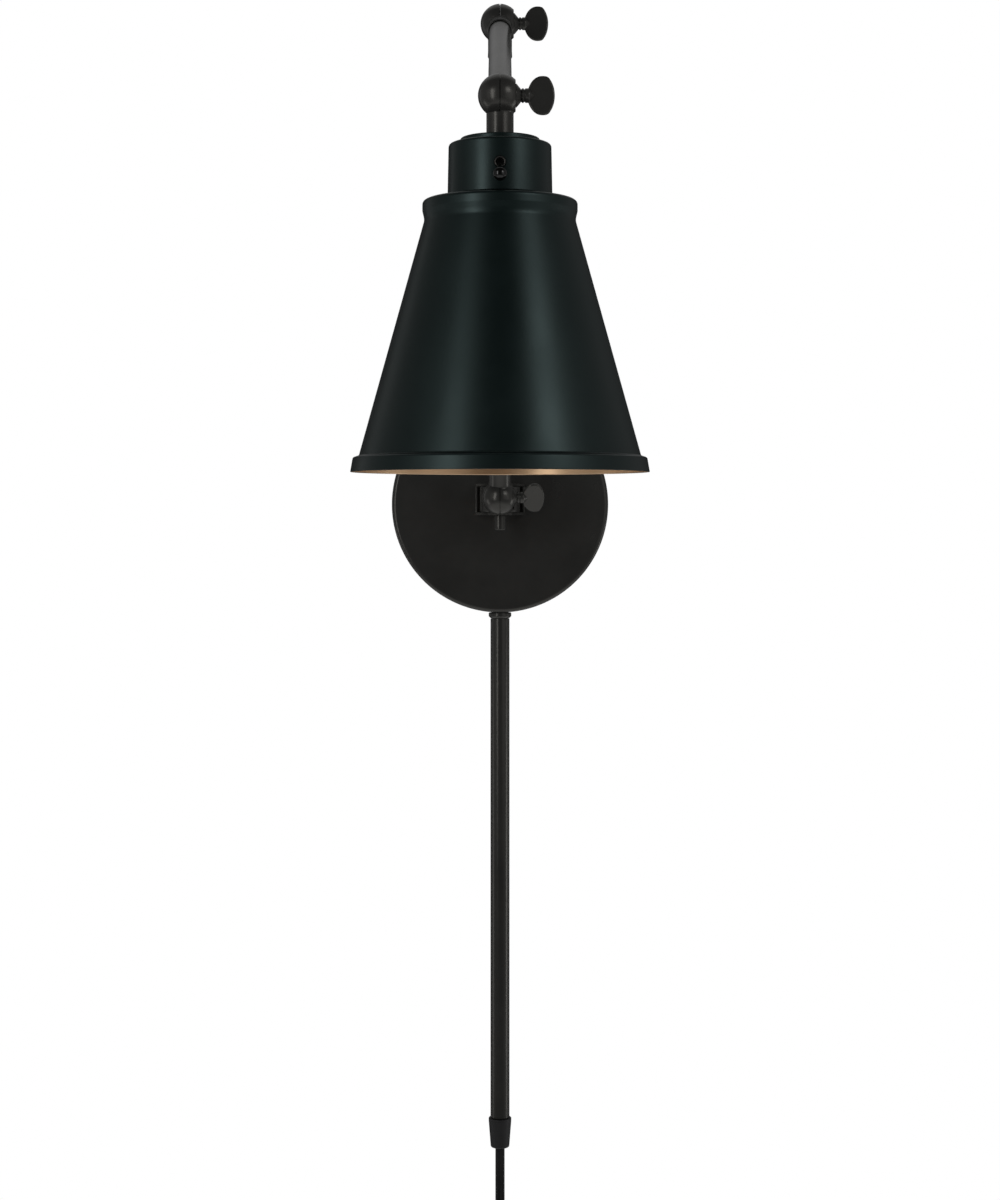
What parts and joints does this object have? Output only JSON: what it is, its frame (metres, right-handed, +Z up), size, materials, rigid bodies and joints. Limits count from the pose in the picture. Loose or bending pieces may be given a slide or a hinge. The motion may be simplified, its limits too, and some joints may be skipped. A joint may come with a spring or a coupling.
{
  "type": "swing arm wall sconce",
  "caption": "Matte black plug-in wall lamp with a cone shade, two arms on clamped ball joints, a swivel bracket and a cord cover tube.",
  "frame": {"origin": "centre of the wall strap's back face, on the wall", "axes": "+Z up, +Y into the wall, -Y towards the viewer, +X to the viewer's right"},
  "size_m": [0.1414, 0.3611, 0.9106],
  "materials": {
    "black_metal": "satin black powder coat",
    "shade_black": "matte black with a faint green cast outside, gold paint inside the shade",
    "zinc_steel": "zinc plated",
    "brass": "bright",
    "black_plastic": "matte",
    "cord_pvc": "satin extruded",
    "green_screw": "green dyed zinc"
  },
  "bodies": {
    "wall_plate": {"backplate": "black_metal", "wall_strap": "zinc_steel", "side_screw_left": "zinc_steel", "side_screw_right": "zinc_steel", "earth_screw": "green_screw", "pivot_bracket": "black_metal", "bracket_nipple": "zinc_steel", "nipple_washer": "zinc_steel", "nipple_nut": "zinc_steel", "pivot_pin": "black_metal", "pivot_nut": "black_metal", "tube_coupling": "black_metal", "coupling_nut": "zinc_steel", "cord_cover_tube": "black_metal", "cord_bushing": "black_plastic", "cord_in_cover": "cord_pvc", "cord_lead": "cord_pvc", "cord_hank": "cord_pvc", "hank_tie": "black_plastic", "cord_tail": "cord_pvc", "plug_body": "black_plastic", "plug_blade_left": "brass", "plug_blade_right": "brass"},
    "swivel": {"swivel_knuckle": "black_metal"},
    "back_screw": {"thumb_screw_back": "black_metal"},
    "lower_arm": {"lower_arm_foot": "black_metal", "lower_arm_tube": "black_metal", "lower_arm_elbow": "black_metal"},
    "top_screw": {"thumb_screw_top": "black_metal"},
    "upper_arm": {"upper_arm_elbow": "black_metal", "upper_arm_tube": "black_metal", "upper_arm_wrist": "black_metal"},
    "front_screw": {"thumb_screw_front": "black_metal"},
    "lamp_head": {"shade_stem": "black_metal", "stem_disc": "shade_black", "stem_nut": "zinc_steel", "socket_cup": "shade_black", "lamp_holder": "black_plastic", "screw_shell": "brass", "centre_contact": "brass", "shade": "shade_black", "shade_ring": "black_plastic", "switch_body": "black_plastic", "switch_bushing": "black_metal"},
    "lever": {"switch_lever": "black_metal"}
  },
  "joints": [
    {"name": "swing", "type": "hinge", "parent": "wall_plate", "child": "swivel", "pos_m": [0, -0.0363, 0.0038], "axis": [0, 0, 1], "range_deg": [-80, 60]},
    {"name": "lower_arm_tilt", "type": "hinge", "parent": "swivel", "child": "lower_arm", "pos_m": [0, -0.0555, 0.0038], "axis": [1, 0, 0], "range_deg": [-22, 70]},
    {"name": "upper_arm_tilt", "type": "hinge", "parent": "lower_arm", "child": "upper_arm", "pos_m": [0, -0.15449, 0.25769], "axis": [1, 0, 0], "range_deg": [-95, 6]},
    {"name": "shade_tilt", "type": "hinge", "parent": "upper_arm", "child": "lamp_head", "pos_m": [0, -0.29043, 0.19197], "axis": [1, 0, 0], "range_deg": [-90, 35]},
    {"name": "back_screw_turn", "type": "hinge", "parent": "swivel", "child": "back_screw", "pos_m": [0, -0.0555, 0.0038], "axis": [1, 0, 0], "range_deg": [0, 180]},
    {"name": "top_screw_turn", "type": "hinge", "parent": "lower_arm", "child": "top_screw", "pos_m": [0, -0.15449, 0.25769], "axis": [1, 0, 0], "range_deg": [0, 180]},
    {"name": "front_screw_turn", "type": "hinge", "parent": "upper_arm", "child": "front_screw", "pos_m": [0, -0.29043, 0.19197], "axis": [1, 0, 0], "range_deg": [0, 180]},
    {"name": "switch_flip", "type": "hinge", "parent": "lamp_head", "child": "lever", "pos_m": [0, -0.31478, 0.15667], "axis": [1, 0, 0], "range_deg": [-30, 0]}
  ]
}
